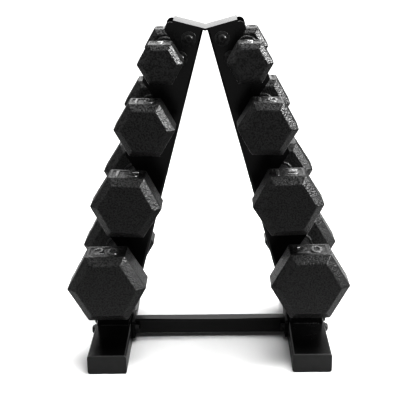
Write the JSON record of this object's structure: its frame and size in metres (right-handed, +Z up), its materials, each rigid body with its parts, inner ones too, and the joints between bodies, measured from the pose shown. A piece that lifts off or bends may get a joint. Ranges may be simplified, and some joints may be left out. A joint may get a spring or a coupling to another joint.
{
  "type": "dumbbell rack",
  "caption": "A-frame rack of two leaning toothed steel channels on two tube feet, holding hex dumbbells in notches from light at the top to heavy at the bottom.",
  "frame": {"origin": "on the floor, at the middle of the rack's footprint", "axes": "+X runs across the rack from its left upright to its right one, +Y runs from front to back along the dumbbell handles, +Z is up"},
  "size_m": [0.4276, 0.272, 0.5212],
  "materials": {
    "frame_black": "black semi-gloss powder coat on steel",
    "cap_black": "black moulded plastic with a fine grain",
    "fastener_black": "black oxide steel",
    "head_enamel": "hammered black enamel on cast iron",
    "handle_black": "black enamel on a knurled steel bar"
  },
  "bodies": {
    "rack": {"left_upright": "frame_black", "left_foot": "frame_black", "left_end_plate": "frame_black", "left_front_foot_cap": "cap_black", "left_rear_foot_cap": "cap_black", "right_upright": "frame_black", "right_foot": "frame_black", "right_end_plate": "frame_black", "right_front_foot_cap": "cap_black", "right_rear_foot_cap": "cap_black", "top_bracket": "frame_black", "crossbar": "frame_black", "top_bolts": "fastener_black", "top_washers": "fastener_black", "top_nuts": "fastener_black", "foot_bolts": "fastener_black", "foot_washers": "fastener_black", "foot_nuts": "fastener_black"},
    "left_dumbbell_5": {"left_5_handle": "handle_black", "left_5_front_head": "head_enamel", "left_5_rear_head": "head_enamel"},
    "left_dumbbell_10": {"left_10_handle": "handle_black", "left_10_front_head": "head_enamel", "left_10_rear_head": "head_enamel"},
    "left_dumbbell_15": {"left_15_handle": "handle_black", "left_15_front_head": "head_enamel", "left_15_rear_head": "head_enamel"},
    "left_dumbbell_20": {"left_20_handle": "handle_black", "left_20_front_head": "head_enamel", "left_20_rear_head": "head_enamel"},
    "right_dumbbell_5": {"right_5_handle": "handle_black", "right_5_front_head": "head_enamel", "right_5_rear_head": "head_enamel"},
    "right_dumbbell_10": {"right_10_handle": "handle_black", "right_10_front_head": "head_enamel", "right_10_rear_head": "head_enamel"},
    "right_dumbbell_15": {"right_15_handle": "handle_black", "right_15_front_head": "head_enamel", "right_15_rear_head": "head_enamel"},
    "right_dumbbell_20": {"right_20_handle": "handle_black", "right_20_front_head": "head_enamel", "right_20_rear_head": "head_enamel"}
  },
  "joints": [
    {"name": "left_5_lift", "type": "slide", "parent": "rack", "child": "left_dumbbell_5", "axis": [-0.766, 0, 0.6428], "range_m": [0, 0.2]},
    {"name": "left_10_lift", "type": "slide", "parent": "rack", "child": "left_dumbbell_10", "axis": [-0.766, 0, 0.6428], "range_m": [0, 0.2]},
    {"name": "left_15_lift", "type": "slide", "parent": "rack", "child": "left_dumbbell_15", "axis": [-0.766, 0, 0.6428], "range_m": [0, 0.2]},
    {"name": "left_20_lift", "type": "slide", "parent": "rack", "child": "left_dumbbell_20", "axis": [-0.766, 0, 0.6428], "range_m": [0, 0.2]},
    {"name": "right_5_lift", "type": "slide", "parent": "rack", "child": "right_dumbbell_5", "axis": [0.766, 0, 0.6428], "range_m": [0, 0.2]},
    {"name": "right_10_lift", "type": "slide", "parent": "rack", "child": "right_dumbbell_10", "axis": [0.766, 0, 0.6428], "range_m": [0, 0.2]},
    {"name": "right_15_lift", "type": "slide", "parent": "rack", "child": "right_dumbbell_15", "axis": [0.766, 0, 0.6428], "range_m": [0, 0.2]},
    {"name": "right_20_lift", "type": "slide", "parent": "rack", "child": "right_dumbbell_20", "axis": [0.766, 0, 0.6428], "range_m": [0, 0.2]}
  ]
}
